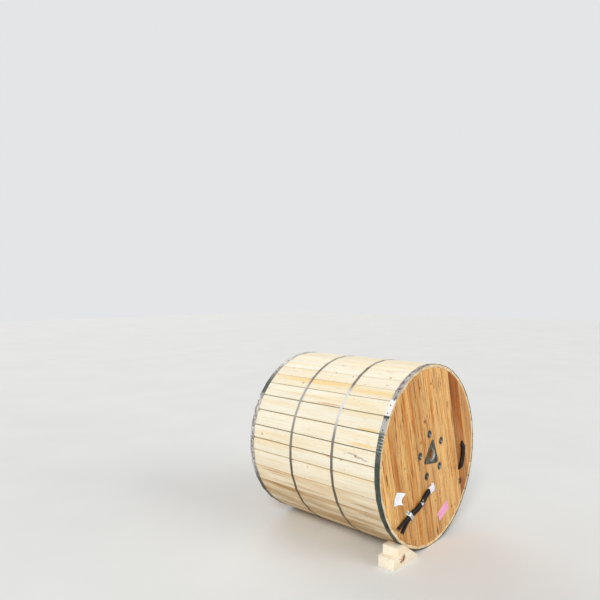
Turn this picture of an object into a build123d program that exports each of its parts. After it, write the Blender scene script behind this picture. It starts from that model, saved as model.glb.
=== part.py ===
import os
from math import atan2, cos, degrees, radians, sin, tan

from build123d import *

# Wooden cable drum, lying on one lagging board beside its chock.
# Millimetres. The origin is the middle of the drum, on the spindle axis.
# The axis is Y, the front flange faces -Y, and +Z is up.

# Whole drum
overall_length = 1070.0
flange_diameter = 1098.0
seat_gap = 0.3

# Lagging: flat boards nailed over the rims of the two flanges.
# Each board faces an angle, in degrees from the top towards -X, and touches the rim there.
# The boards of uneven width come first, down to the one that lies on the floor at 180.
lagging_thickness = 20.0
lagging_joint_gap = 1.8
uneven_board_angles = (
    25.0, 34.5, 41.5, 51.0, 61.0, 72.5, 82.0, 90.0,
    98.5, 111.5, 121.5, 133.0, 145.0, 157.0, 169.0, 180.0,
)
even_board_count = 20
chocked_board_index = 12

# Steel bands at the two edges, and the two narrow straps between them
edge_band_width = 36.0
edge_band_thickness = 1.0
strap_width = 19.0
strap_thickness = 0.8
front_strap_from_end = 350.0
back_strap_from_end = 380.0
seal_length = 45.0
seal_thickness = 1.2
seal_board_angle = 257.0

# Flanges: two crossing layers of boards
layer_thickness = 25.0
flange_recess = 2.0
flange_joint_gap = 0.8
front_lean = 13.0
front_outer_seams = (-430.0, -360.0, -268.0, -158.0, -70.0, 35.0, 150.0, 230.0, 312.0, 427.0)
front_inner_seams = (-440.0, -335.0, -225.0, -120.0, -20.0, 85.0, 190.0, 300.0, 405.0)
back_lean = -24.0
back_outer_seams = (-445.0, -350.0, -262.0, -150.0, -62.0, 48.0, 140.0, 250.0, 338.0, 448.0)
back_inner_seams = (-430.0, -325.0, -215.0, -105.0, 5.0, 100.0, 210.0, 310.0, 425.0)

# Barrel: staves round two end discs
barrel_diameter = 340.0
stave_thickness = 20.0
stave_count = 18
stave_joint_gap = 0.8
end_disc_thickness = 25.0
end_disc_seams = (-52.0, 52.0)

# Tie rods through both flanges, with a nut in a pressed cup at each end
tie_count = 5
tie_edge_distance = 12.7
first_tie_angle = -10.9
tie_rod_diameter = 12.0
tie_hole_clearance = 0.5
tie_end_depth = 2.0
cup_diameter = 50.0
cup_pocket_clearance = 1.0
cup_pocket_depth = 16.0
cup_rim_depth = 1.0
cup_rim_width = 5.5
cup_floor_diameter = 29.0
cup_sheet = 2.0
nut_width = 19.0
nut_height = 10.0

# Hub plates: pressed steel, three-cornered, with a collar for the spindle
spindle_bore_diameter = 80.0
hub_sheet = 3.0
hub_tip_radius = 94.0
hub_corner_radius = 14.0
hub_turn = 8.0
collar_depth = 22.0
collar_mouth = 2.0
collar_clearance = 1.0
hub_bolt_circle_radius = 74.0
hub_bolt_diameter = 8.0
hub_bolt_length = 45.0
hub_bolt_clearance = 0.2
bolt_head_diameter = 17.0
bolt_head_height = 5.0

# Cable: two insulated cores side by side, wound on the barrel
core_diameter = 18.0
core_pitch = 18.8
winding_diameter = 860.0
cable_hole_diameter = 46.0

# The way out of a cable hole: along the face and out from it, from the hole's middle
exit_bend = ((-6.5, -50.0), (-5.4, -16.9), (-0.7, 0.5), (5.7, 8.0), (14.6, 12.2))

# Inner end of the cable, held against the front flange.
# A point is along, sideways and out from the face, from the middle of its hole.
tail_hole_angle = 182.3
tail_hole_from_barrel = 27.2
tail_direction_angle = 205.1
tail_bundle = (
    (38.0, 4.0, 12.6), (76.0, 10.5, 12.2), (120.0, 1.5, 11.6), (161.0, -5.5, 11.2),
    (215.0, -3.5, 10.2), (268.0, 10.0, 10.0), (326.0, 14.5, 10.0),
)
upper_end = ((382.0, 31.0, 10.0), (435.0, 35.0, 10.6))
lower_end = ((370.0, -5.0, 10.0), (409.0, -16.5, 10.6))

# White wrap, tie and steel clamp that hold the inner end
wrap_thickness = 2.0
wrap_clearance = 0.4
wrap_start_height = -10.0
wrap_end_at = 60.0
tie_at = 170.0
tie_width = 3.0
tie_thickness = 1.2
knot_diameter = 14.0
knot_height = 6.0
clamp_at = 294.0
clamp_crossing = 72.0
clamp_width = 26.0
clamp_sheet = 1.5
clamp_foot = 18.0
clamp_foot_bend = 4.0
clamp_clearance = 1.2

# Outer end of the cable: a loop out of one hole and back into another.
# A bow point is a share of the way between the holes and how far it stands sideways.
loop_start_angle = 268.2
loop_end_angle = 246.4
loop_hole_inset = 22.0
loop_bow = ((0.26, 4.5), (0.5, 8.0), (0.74, 4.8))
loop_height = 12.0

# Paper labels on the front flange
label_thickness = 0.4
white_label_size = (91.0, 67.0)
white_label_angle = 116.4
white_label_from_rim = 147.0
white_label_turn = -18.0
pink_label_size = (130.0, 63.0)
pink_label_angle = 200.7
pink_label_from_rim = 124.6
pink_label_turn = 24.0

# Chock: one sawn piece with a step, sloped on the side of the drum
chock_width = 106.0
chock_ahead = 17.0
chock_top_length = 69.0
chock_step_height = 66.0
chock_step_depth = 46.0
chock_height = 114.0
chock_tip_height = 4.0

# Values that follow from the sizes above
flange_radius = flange_diameter / 2
lagging_inner_radius = flange_radius + seat_gap
lagging_outer_radius = lagging_inner_radius + lagging_thickness
drum_radius = lagging_outer_radius + edge_band_thickness
floor_level = -drum_radius
half_length = overall_length / 2
face_y = half_length - flange_recess
flange_thickness = 2 * layer_thickness
inner_face_y = face_y - flange_thickness
barrel_radius = barrel_diameter / 2
barrel_corner_radius = barrel_radius / cos(radians(180 / stave_count))
end_disc_radius = barrel_radius - stave_thickness - seat_gap
tie_circle_radius = end_disc_radius - tie_edge_distance
spindle_bore_radius = spindle_bore_diameter / 2
wood_bore_radius = spindle_bore_radius + hub_sheet + collar_clearance
tie_rod_radius = tie_rod_diameter / 2
core_radius = core_diameter / 2
winding_radius = winding_diameter / 2

# The flange faces: local X and Y lie on the face and local Z points outwards
front_face = Plane(origin=(0, -face_y, 0), x_dir=(1, 0, 0), z_dir=(0, -1, 0))
back_face = Plane(origin=(0, face_y, 0), x_dir=(-1, 0, 0), z_dir=(0, 1, 0))


def lagging_angles():
    """The angles that all the lagging boards face, once round the drum."""
    first, last = uneven_board_angles[0], uneven_board_angles[-1]
    step = (first + 360 - last) / (even_board_count + 1)
    return list(uneven_board_angles) + [last + step * (i + 1) for i in range(even_board_count)]


def stave_angles():
    return [360 / stave_count * i for i in range(stave_count)]


def half_steps(angles):
    """For each board, its angle and half the angle to the board before and after it."""
    before = [angles[-1] - 360] + angles[:-1]
    after = angles[1:] + [angles[0] + 360]
    return [(here, (here - low) / 2, (high - here) / 2)
            for low, here, high in zip(before, angles, after)]


def outward(angle, radius):
    """The point at an angle from the top towards -X, as X and Z."""
    return -radius * sin(radians(angle)), radius * cos(radians(angle))


def facet_plane(angle, radius, y):
    """A plane that lies on one board, with its Z pointing away from the axis."""
    x, z = outward(angle, radius)
    nx, nz = outward(angle, 1)
    return Plane(origin=(x, y, z), x_dir=(0, 1, 0), z_dir=(nx, 0, nz))


def boards_round(angles, inner_radius, thickness, gap, length):
    """Flat boards laid round a circle; neighbours meet at their inner edges, less the gap."""
    boards = []
    for angle, half_before, half_after in half_steps(angles):
        low = -inner_radius * tan(radians(half_before)) + gap / 2
        high = inner_radius * tan(radians(half_after)) - gap / 2
        place = facet_plane(angle, inner_radius + thickness / 2, 0)
        boards.append(place * Pos(0, (low + high) / 2, 0) * Box(length, high - low, thickness))
    return boards


def facet_outline(radius):
    """The many-sided outline of the lagging at a distance from the axis, in X and Z."""
    corners = []
    for angle, _, half_after in half_steps(lagging_angles()):
        reach = radius / cos(radians(half_after))
        corners.append(outward(angle + half_after, reach))
    return corners


def band_round(inner_radius, thickness, width, y):
    """A steel band bent over the boards."""
    plane = Plane(origin=(0, y + width / 2, 0), x_dir=(1, 0, 0), z_dir=(0, -1, 0))
    outer = Polygon(*facet_outline(inner_radius + thickness), align=None)
    inner = Polygon(*facet_outline(inner_radius), align=None)
    return extrude(plane * (outer - inner), amount=width)


def strap_seal(y):
    """A pressed seal: a plate over the strap, folded down at both edges."""
    nearest = min(lagging_angles(), key=lambda a: abs(a - seal_board_angle))
    plane = facet_plane(nearest, lagging_outer_radius, y)
    height = strap_thickness + seal_thickness
    outer = Box(seal_length, strap_width + 2 * seal_thickness, height)
    channel = Box(seal_length, strap_width, strap_thickness)
    outer = Pos(0, 0, height / 2) * outer - Pos(0, 0, strap_thickness / 2) * channel
    return plane * Rot(0, 0, 90) * outer


def cable_holes():
    """The holes of the front flange, as X and Z: the inner end's, then the loop's two."""
    loop_radius = winding_radius - loop_hole_inset
    return [
        outward(tail_hole_angle, barrel_radius + tail_hole_from_barrel),
        outward(loop_start_angle, loop_radius),
        outward(loop_end_angle, loop_radius),
    ]


def tie_points():
    """The tie rods' places, as X and Z."""
    step = 360 / tie_count
    return [outward(-(first_tie_angle + step * i), tie_circle_radius) for i in range(tie_count)]


def hub_bolt_points():
    return [outward(-(hub_turn + 120 * i), hub_bolt_circle_radius) for i in range(3)]


def flange_layer(side, lean, seams, outer_depth, holes):
    """One layer of flange boards in its face's frame; side is 1 in front and -1 behind."""
    middle = Pos(0, 0, -outer_depth - layer_thickness / 2)
    disc = middle * Cylinder(flange_radius, layer_thickness)
    disc -= middle * Cylinder(wood_bore_radius, layer_thickness)
    for x, z in tie_points():
        at = Pos(side * x, z, 0) * middle
        disc -= at * Cylinder(tie_rod_radius + tie_hole_clearance, layer_thickness)
        if outer_depth == 0:
            pocket = Cylinder(cup_diameter / 2 + cup_pocket_clearance, cup_pocket_depth)
            disc -= Pos(side * x, z, -cup_pocket_depth / 2) * pocket
    for x, z in hub_bolt_points():
        hole = Cylinder(hub_bolt_diameter / 2 + hub_bolt_clearance, layer_thickness)
        disc -= Pos(side * x, z, 0) * middle * hole
    for x, z in holes:
        disc -= Pos(side * x, z, 0) * middle * Cylinder(cable_hole_diameter / 2, layer_thickness)
    edges = [-flange_diameter] + list(seams) + [flange_diameter]
    boards = []
    for low, high in zip(edges, edges[1:]):
        slab = Box(high - low - flange_joint_gap, 2 * flange_diameter, layer_thickness)
        slab = Rot(0, 0, lean) * Pos((low + high) / 2, 0, 0) * middle * slab
        boards += (disc & slab).solids()
    return boards


def end_disc_boards(side):
    """A barrel end disc of three boards, behind its flange, in the face's frame."""
    middle = Pos(0, 0, -flange_thickness - end_disc_thickness / 2)
    disc = middle * Cylinder(end_disc_radius, end_disc_thickness)
    disc -= middle * Cylinder(wood_bore_radius, end_disc_thickness)
    for x, z in tie_points():
        hole = Cylinder(tie_rod_radius + tie_hole_clearance, end_disc_thickness)
        disc -= Pos(side * x, z, 0) * middle * hole
    edges = [-barrel_diameter] + list(end_disc_seams) + [barrel_diameter]
    boards = []
    for low, high in zip(edges, edges[1:]):
        slab = Box(high - low - flange_joint_gap, 2 * barrel_diameter, end_disc_thickness)
        boards += (disc & (Pos((low + high) / 2, 0, 0) * middle * slab)).solids()
    return boards


def cup_washer():
    """A pressed steel cup in section, turned about its axis; its rim is just under the face."""
    rim = cup_diameter / 2
    lip = rim - cup_rim_width
    floor = cup_floor_diameter / 2
    hole = tie_rod_radius + tie_hole_clearance
    top = -cup_rim_depth
    bottom = -cup_pocket_depth
    section = Polyline(
        (rim, top), (lip, top), (floor, bottom + cup_sheet), (hole, bottom + cup_sheet),
        (hole, bottom), (floor + cup_sheet / 2, bottom), (lip + cup_sheet, top - cup_sheet),
        (rim, top - cup_sheet), (rim, top),
    )
    return revolve(Plane.XZ * make_face(section), Axis.Z)


def tie_nut():
    base = -cup_pocket_depth + cup_sheet
    nut = extrude(RegularPolygon(nut_width / 2, 6, major_radius=False), amount=nut_height)
    nut -= Pos(0, 0, nut_height / 2) * Cylinder(tie_rod_radius + seat_gap / 2, nut_height)
    return Pos(0, 0, base) * nut


def tie_rod():
    return Rot(90, 0, 0) * Cylinder(tie_rod_radius, 2 * (face_y - tie_end_depth))


def hub_plate():
    """A three-cornered plate with a pressed collar that reaches into the flange."""
    blank = RegularPolygon(hub_tip_radius + hub_corner_radius, 3, rotation=90 - hub_turn)
    blank = fillet(blank.vertices(), hub_corner_radius)
    plate = extrude(blank, amount=hub_sheet)
    collar_radius = spindle_bore_radius + hub_sheet
    plate += Pos(0, 0, -collar_depth / 2) * Cylinder(collar_radius, collar_depth)
    through = 2 * (collar_depth + hub_sheet)
    plate -= Cylinder(spindle_bore_radius, through)
    mouth = plate.edges().filter_by(GeomType.CIRCLE).sort_by(Axis.Z)[-1]
    plate = chamfer(mouth, collar_mouth)
    for x, z in hub_bolt_points():
        hole = Cylinder(hub_bolt_diameter / 2 + hub_bolt_clearance, through)
        plate -= Pos(x, z, 0) * hole
    return plate


def hub_bolt():
    """A bolt with its head on the plate's face and its shank in the boards."""
    head = Cylinder(bolt_head_diameter / 2, bolt_head_height)
    shank = Cylinder(hub_bolt_diameter / 2, hub_bolt_length)
    bolt = Pos(0, 0, bolt_head_height / 2) * head + Pos(0, 0, -hub_bolt_length / 2) * shank
    return Pos(0, 0, hub_sheet) * bolt


def wound_cable():
    """The cable on the barrel, turned as one round body with its bore."""
    length = 2 * (inner_face_y - seat_gap)
    bore = barrel_corner_radius + seat_gap
    body = Cylinder(winding_radius, length) - Cylinder(bore, length)
    return Rot(90, 0, 0) * body


def corner_radii(points):
    """For each corner, 0.45 of the shorter run over the tangent of half the turn."""
    radii = []
    for before, here, after in zip(points, points[1:], points[2:]):
        run_in = Vector(*here) - Vector(*before)
        run_out = Vector(*after) - Vector(*here)
        shorter = min(run_in.length, run_out.length)
        radii.append(0.45 * shorter / tan(radians(run_in.get_angle(run_out)) / 2))
    return radii


def rounded_route(name, points):
    radii = corner_radii(points)
    print(name, "radii", [round(r) for r in radii])
    return FilletPolyline(*points, radius=radii)


def on_tail(along, sideways, height):
    """A point of the inner end's frame, in the front face's frame."""
    c, s = cos(radians(tail_direction_angle)), sin(radians(tail_direction_angle))
    x, y = cable_holes()[0]
    return x + along * c + sideways * s, y + along * s - sideways * c, height


def core(name, points):
    """One insulated core along its route, in the front face's frame."""
    route = rounded_route(name, points)
    start = Plane(origin=route @ 0, z_dir=route % 0)
    return sweep(start * Circle(core_radius), path=route)


def tail_points():
    """The middle line of the inner end, up to where its two cores part."""
    return [(along, 0.0, out) for along, out in exit_bend] + list(tail_bundle)


def tail_point(at):
    """The point of the inner end's middle line at a distance along, and its direction."""
    points = tail_points()
    before, after = next(pair for pair in zip(points, points[1:]) if pair[0][0] <= at < pair[1][0])
    share = (at - before[0]) / (after[0] - before[0])
    place = [low + share * (high - low) for low, high in zip(before, after)]
    return place, Vector(*on_tail(*after)) - Vector(*on_tail(*before))


def tail_core(name, side, end):
    bundle = [(a, s + side * core_pitch / 2, h) for a, s, h in tail_points()]
    return core(name, [on_tail(*point) for point in bundle + list(end)])


def loop_core(name, side):
    """One core of the loop; the two lie side by side, square to the line of the holes."""
    (x0, y0), (x1, y1) = cable_holes()[1:]
    span = Vector(x1 - x0, y1 - y0)
    ahead = span.normalized()
    across = Vector(-ahead.Y, ahead.X)
    stations = [(along, 0.0, out) for along, out in exit_bend]
    stations += [(span.length * share, bow, loop_height) for share, bow in loop_bow]
    stations += [(span.length - along, 0.0, out) for along, out in reversed(exit_bend)]
    points = []
    for along, bow, height in stations:
        aside = bow + side * core_pitch / 2
        x = x0 + ahead.X * along + across.X * aside
        y = y0 + ahead.Y * along + across.Y * aside
        points.append((x, y, height))
    return core(name, points)


def bundle_outline(clearance):
    """A slot shape that goes round both cores."""
    return SlotCenterToCenter(core_pitch, core_diameter + 2 * clearance)


def tail_wrap():
    """Tape wound round both cores where they leave the hole."""
    full = tail_points()
    low, high = next(pair for pair in zip(full, full[1:]) if pair[0][2] <= wrap_start_height < pair[1][2])
    share = (wrap_start_height - low[2]) / (high[2] - low[2])
    start = [a + share * (b - a) for a, b in zip(low, high)]
    end, _ = tail_point(wrap_end_at)
    between = [n for n, point in enumerate(full) if start[0] < point[0] < end[0]]
    radii = corner_radii([on_tail(*point) for point in full])
    points = [start] + [full[n] for n in between] + [end]
    route = FilletPolyline(*[on_tail(*p) for p in points], radius=[radii[n - 1] for n in between])
    outer = bundle_outline(wrap_clearance + wrap_thickness)
    sleeve = outer - bundle_outline(wrap_clearance)
    side = Vector(*on_tail(0, 1, 0)) - Vector(*on_tail(0, 0, 0))
    start = Plane(origin=route @ 0, x_dir=side, z_dir=route % 0)
    return sweep(start * sleeve, path=route)


def tail_tie():
    """A thin white tie round both cores, with its knot on the upper one."""
    place, ahead = tail_point(tie_at)
    side = ahead.cross(Vector(0, 0, 1)).normalized()
    plane = Plane(origin=on_tail(*place), x_dir=side, z_dir=ahead)
    upper = 1 if side.Y > 0 else -1
    ring = bundle_outline(wrap_clearance + tie_thickness) - bundle_outline(wrap_clearance)
    ring = Pos(0, 0, -tie_width / 2) * extrude(ring, amount=tie_width)
    up = 1 if plane.y_dir.Z > 0 else -1
    knot_middle = core_radius + wrap_clearance + knot_height / 2
    knot = Rot(90, 0, 0) * Cylinder(knot_diameter / 2, knot_height)
    return plane * (ring + Pos(upper * core_pitch / 2, up * knot_middle, 0) * knot)


def tail_clamp():
    """A bent steel strip over both cores, with a foot on the face at each side."""
    (along, sideways, height), ahead = tail_point(clamp_at)
    crossing = radians(clamp_crossing)
    half = (core_pitch / 2 + core_radius) / sin(crossing)
    half += clamp_width / 2 / tan(crossing) + clamp_clearance
    top = height + core_radius + wrap_clearance
    inner = Pos(0, top / 2) * Rectangle(2 * half, top)
    outer_height = top + clamp_sheet
    outer = Pos(0, outer_height / 2) * Rectangle(2 * (half + clamp_sheet), outer_height)
    inner = fillet(inner.vertices().group_by(Axis.Y)[-1], core_radius)
    outer = fillet(outer.vertices().group_by(Axis.Y)[-1], core_radius + clamp_sheet)
    feet = Pos(0, clamp_sheet / 2) * Rectangle(2 * (half + clamp_foot), clamp_sheet)
    section = outer + feet
    bends = section.vertices().filter_by_position(Axis.Y, clamp_sheet / 2, 2 * clamp_sheet)
    bends = bends.filter_by_position(Axis.X, -half - 2 * clamp_sheet, half + 2 * clamp_sheet)
    strip = extrude(fillet(bends, clamp_foot_bend) - inner, amount=clamp_width)
    strip = Pos(0, 0, -clamp_width / 2) * strip
    angle = degrees(atan2(ahead.Y, ahead.X)) - clamp_crossing
    x, y, z = on_tail(along, sideways, 0.0)
    run = Vector(cos(radians(angle)), sin(radians(angle)), 0)
    up = Vector(0, 0, 1)
    return Plane(origin=(x, y, z), x_dir=run, z_dir=run.cross(up)) * strip


def paper_label(size, angle, from_rim, turn):
    x, y = outward(angle, flange_radius - from_rim)
    return Pos(x, y, label_thickness / 2) * Rot(0, 0, turn) * Box(*size, label_thickness)


def chock():
    """The sawn chock; its slope lies on the band of the board that it holds."""
    nx, nz = outward(uneven_board_angles[chocked_board_index], 1)
    reach = drum_radius + seat_gap

    def slope_x(z):
        return (reach - nz * z) / nx

    step_z = floor_level + chock_step_height
    top_z = floor_level + chock_height
    tip_z = floor_level + chock_tip_height
    riser_x = slope_x(top_z) - chock_top_length
    outer_x = riser_x - chock_step_depth
    outline = Polyline(
        (outer_x, floor_level), (outer_x, step_z), (riser_x, step_z),
        (riser_x, top_z), (slope_x(top_z), top_z), (slope_x(tip_z), tip_z),
        (slope_x(tip_z), floor_level), (outer_x, floor_level),
    )
    back_y = chock_width - half_length - chock_ahead
    plane = Plane(origin=(0, back_y, 0), x_dir=(1, 0, 0), z_dir=(0, -1, 0))
    return extrude(plane * make_face(outline), amount=chock_width)


def placed(face, pieces):
    return [face * piece for piece in pieces]


def at_points(piece, points, side):
    return [Pos(side * x, z, 0) * piece for x, z in points]


def write(node, pieces):
    solids = [solid for piece in pieces for solid in piece.solids()]
    shape = solids[0] if len(solids) == 1 else Compound(solids)
    export_step(shape, os.path.join("parts", node + ".step"))


def main():
    os.makedirs("parts", exist_ok=True)
    write("lagging_boards", boards_round(
        lagging_angles(), lagging_inner_radius, lagging_thickness, lagging_joint_gap, overall_length))
    band_y = half_length - edge_band_width / 2
    write("front_edge_band", [band_round(
        lagging_outer_radius, edge_band_thickness, edge_band_width, -band_y)])
    write("back_edge_band", [band_round(
        lagging_outer_radius, edge_band_thickness, edge_band_width, band_y)])
    front_strap_y = front_strap_from_end - half_length
    back_strap_y = half_length - back_strap_from_end
    write("front_strap", [band_round(
        lagging_outer_radius, strap_thickness, strap_width, front_strap_y)])
    write("back_strap", [band_round(
        lagging_outer_radius, strap_thickness, strap_width, back_strap_y)])
    write("strap_seals", [strap_seal(front_strap_y), strap_seal(back_strap_y)])

    holes = cable_holes()
    layers = {
        "front_flange_outer_boards": (front_face, 1, front_lean, front_outer_seams, 0, holes),
        "front_flange_inner_boards": (
            front_face, 1, front_lean + 90, front_inner_seams, layer_thickness, holes),
        "back_flange_outer_boards": (back_face, -1, back_lean, back_outer_seams, 0, []),
        "back_flange_inner_boards": (
            back_face, -1, back_lean + 90, back_inner_seams, layer_thickness, []),
    }
    for node, (face, *layer) in layers.items():
        write(node, placed(face, flange_layer(*layer)))

    write("barrel_staves", boards_round(
        stave_angles(), barrel_radius - stave_thickness, stave_thickness, stave_joint_gap,
        2 * inner_face_y))
    write("tie_rods", [Pos(x, 0, z) * tie_rod() for x, z in tie_points()])
    for end, face, side in (("front", front_face, 1), ("back", back_face, -1)):
        write(end + "_barrel_disc", placed(face, end_disc_boards(side)))
        write(end + "_tie_cups", placed(face, at_points(cup_washer(), tie_points(), side)))
        write(end + "_tie_nuts", placed(face, at_points(tie_nut(), tie_points(), side)))
        plate = hub_plate() if side == 1 else mirror(hub_plate(), about=Plane.YZ)
        write(end + "_hub_plate", placed(face, [plate]))
        write(end + "_hub_bolts", placed(face, at_points(hub_bolt(), hub_bolt_points(), side)))

    write("wound_cable", [wound_cable()])
    write("inner_end_upper_core", placed(front_face, [tail_core("upper core", 1, upper_end)]))
    write("inner_end_lower_core", placed(front_face, [tail_core("lower core", -1, lower_end)]))
    write("outer_loop_first_core", placed(front_face, [loop_core("first loop core", 1)]))
    write("outer_loop_second_core", placed(front_face, [loop_core("second loop core", -1)]))
    write("cable_wrap", placed(front_face, [tail_wrap()]))
    write("cable_tie", placed(front_face, [tail_tie()]))
    write("cable_clamp", placed(front_face, [tail_clamp()]))
    write("white_label", placed(front_face, [
        paper_label(white_label_size, white_label_angle, white_label_from_rim, white_label_turn)]))
    write("pink_label", placed(front_face, [
        paper_label(pink_label_size, pink_label_angle, pink_label_from_rim, pink_label_turn)]))
    write("chock", [chock()])


main()
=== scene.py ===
import random
from math import atan2, cos, degrees, hypot, pi, radians, sin, sqrt

import bmesh
import bpy
from mathutils import Matrix, Vector, noise

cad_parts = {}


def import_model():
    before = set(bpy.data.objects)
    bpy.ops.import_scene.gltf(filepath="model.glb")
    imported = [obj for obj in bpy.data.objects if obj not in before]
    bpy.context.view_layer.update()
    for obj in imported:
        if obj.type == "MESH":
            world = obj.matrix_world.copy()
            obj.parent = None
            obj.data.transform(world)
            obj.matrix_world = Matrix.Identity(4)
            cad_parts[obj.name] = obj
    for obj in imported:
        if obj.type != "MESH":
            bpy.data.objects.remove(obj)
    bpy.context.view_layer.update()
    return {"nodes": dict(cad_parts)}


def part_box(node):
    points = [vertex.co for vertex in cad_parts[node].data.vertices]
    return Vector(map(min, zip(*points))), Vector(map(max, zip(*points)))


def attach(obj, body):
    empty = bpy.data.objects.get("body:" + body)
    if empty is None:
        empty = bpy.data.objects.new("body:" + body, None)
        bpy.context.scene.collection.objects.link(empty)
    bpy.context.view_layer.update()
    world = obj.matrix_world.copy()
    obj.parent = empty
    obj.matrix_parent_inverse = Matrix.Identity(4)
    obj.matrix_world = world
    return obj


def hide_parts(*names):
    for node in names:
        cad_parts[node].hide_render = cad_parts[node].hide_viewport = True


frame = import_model()

# Wooden cable drum, lying beside its chock. Metres.
# The origin is the middle of the drum on the spindle axis, Y is that axis,
# the front flange faces -Y and +Z is up.

# The photograph's camera
image_size = 600
focal_pixels = 558.75
sensor_width = 36
camera_place = (-3.136, -2.319, 1.03)
camera_yaw = 47.056
camera_pitch = -0.853
camera_roll = -0.075

# Places and directions
lagging_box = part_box("lagging_boards")
band_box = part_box("front_edge_band")
floor_level = band_box[0][2]
lagging_radius = -lagging_box[0][2]
half_length = lagging_box[1][1]
backwards = Vector((0, 1, 0))
upwards = Vector((0, 0, 1))
# Which way each flange faces along Y, how its outer boards lean and where its face is
flanges = {
    "front": (-1, radians(13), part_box("front_flange_outer_boards")[0][1]),
    "back": (1, radians(24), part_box("back_flange_outer_boards")[1][1]),
}
front_face = flanges["front"][2]


def rgb(red, green, blue):
    """A colour given in screen values of 0 to 255, as the scene's linear values."""
    def linear(value):
        value /= 255
        return value / 12.92 if value <= 0.04045 else ((value + 0.055) / 1.055) ** 2.4
    return (linear(red), linear(green), linear(blue), 1)


class Graph:
    """A node tree with short calls for the nodes used here."""

    def __init__(self, owner):
        owner.use_nodes = True
        self.tree = owner.node_tree
        self.tree.nodes.clear()

    def node(self, kind, inputs=None, **settings):
        node = self.tree.nodes.new("ShaderNode" + kind)
        for key, value in settings.items():
            setattr(node, key, value)
        for key, value in (inputs or {}).items():
            self.put(node.inputs[key], value)
        return node

    def put(self, socket, value):
        if isinstance(value, bpy.types.NodeSocket):
            self.tree.links.new(value, socket)
        else:
            socket.default_value = value

    def math(self, operation, *values, clamp=False):
        inputs = dict(enumerate(values))
        return self.node("Math", inputs, operation=operation, use_clamp=clamp).outputs[0]

    def times(self, first, second, clamp=False):
        return self.math("MULTIPLY", first, second, clamp=clamp)

    def linear(self, value, factor, plus, clamp=False):
        return self.math("MULTIPLY_ADD", value, factor, plus, clamp=clamp)

    def vector_math(self, operation, *values):
        return self.node("VectorMath", dict(enumerate(values)), operation=operation).outputs

    def vector(self, operation, first, second):
        return self.vector_math(operation, first, second)[0]

    def length(self, vector):
        return self.vector_math("LENGTH", vector)[1]

    def dot(self, vector, direction):
        return self.vector_math("DOT_PRODUCT", vector, direction)[1]

    def split(self, vector):
        return self.node("SeparateXYZ", {0: vector}).outputs[:3]

    def join(self, x, y, z):
        return self.node("CombineXYZ", {0: x, 1: y, 2: z}).outputs[0]

    def noise(self, vector, scale, detail=2, roughness=0.5):
        """Noise of 0 to 1; scale is one number or one for each axis."""
        if isinstance(scale, tuple):
            vector = self.vector("MULTIPLY", vector, scale)
            scale = 1
        inputs = {"Vector": vector, "Scale": scale, "Detail": detail, "Roughness": roughness}
        return self.node("TexNoise", inputs).outputs[0]

    def ease(self, value, low, high, start=0, end=1):
        """A smooth step from start to end as the value goes from low to high."""
        inputs = {0: value, 1: low, 2: high, 3: start, 4: end}
        return self.node("MapRange", inputs, interpolation_type="SMOOTHSTEP").outputs[0]

    def mix(self, factor, first, second, blend="MIX"):
        inputs = {0: factor, 6: first, 7: second}
        return self.node("Mix", inputs, data_type="RGBA", blend_type=blend).outputs[2]

    def shaded(self, colour, level):
        """The colour times a level that is the same for red, green and blue."""
        return self.mix(1, colour, self.join(level, level, level), "MULTIPLY")

    def ramp(self, value, stops):
        node = self.node("ValToRGB", {0: value})
        points = node.color_ramp.elements
        while len(points) < len(stops):
            points.new(0.5)
        for point, (place, level) in zip(points, stops):
            point.position = place
            point.color = (level, level, level, 1)
        return node.outputs[0]

    def attribute(self, name):
        return self.node("Attribute", attribute_name=name).outputs["Vector"]

    def place(self):
        """The place on the object, in the frame's own metres."""
        return self.node("TexCoord").outputs["Object"]


class Paint(Graph):
    """A material's node tree with its surface. The slot argument is not used."""

    def __init__(self, name, slot=None):
        self.material = bpy.data.materials.new(name)
        super().__init__(self.material)
        self.shader = self.node("BsdfPrincipled")
        self.node("OutputMaterial", {0: self.shader.outputs[0]})

    def surface(self, **values):
        for key, value in values.items():
            self.put(self.shader.inputs[key.replace("_", " ")], value)

    def bump(self, height, distance):
        inputs = {"Height": height, "Distance": distance, "Strength": 1}
        self.put(self.shader.inputs["Normal"], self.node("Bump", inputs).outputs[0])


def knots(g, grain, look):
    """Knots scattered over the boards: their mask, their rim and their pull on the rings."""
    spacing = look["knot_spacing"]
    along, across, _ = g.split(grain)
    flat = g.join(along, across, 0)
    cells = g.vector("MULTIPLY", flat, (1 / spacing[0], 1 / spacing[1], 0))
    voronoi = g.node("TexVoronoi", {"Vector": cells, "Scale": 1}, voronoi_dimensions="2D")
    centre = g.vector("MULTIPLY", voronoi.outputs["Position"], (spacing[0], spacing[1], 0))
    offset = g.vector("SUBTRACT", flat, centre)
    wobble = g.noise(grain, 90, 1)
    distance = g.math("ADD", g.length(offset), g.linear(wobble, 0.006, -0.003))
    chance, size, _ = g.split(voronoi.outputs["Color"])
    present = g.math("LESS_THAN", chance, look["knots"])
    reach = g.times(g.linear(size, 0.9, 0.45), look["knot_radius"])
    relative = g.math("DIVIDE", distance, reach)
    mask = g.times(g.ease(relative, 0.85, 1.1, 1, 0), present)
    outer = g.times(g.ease(relative, 1, 1.9, 1, 0), present)
    pull = g.times(g.ease(relative, 0.6, 4, 1, 0), present)
    rings = g.math("SINE", g.times(distance, 2600))
    return mask, outer, pull, rings


# How far a mark goes into the wood before it fades
mark_depth = 0.08


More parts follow.
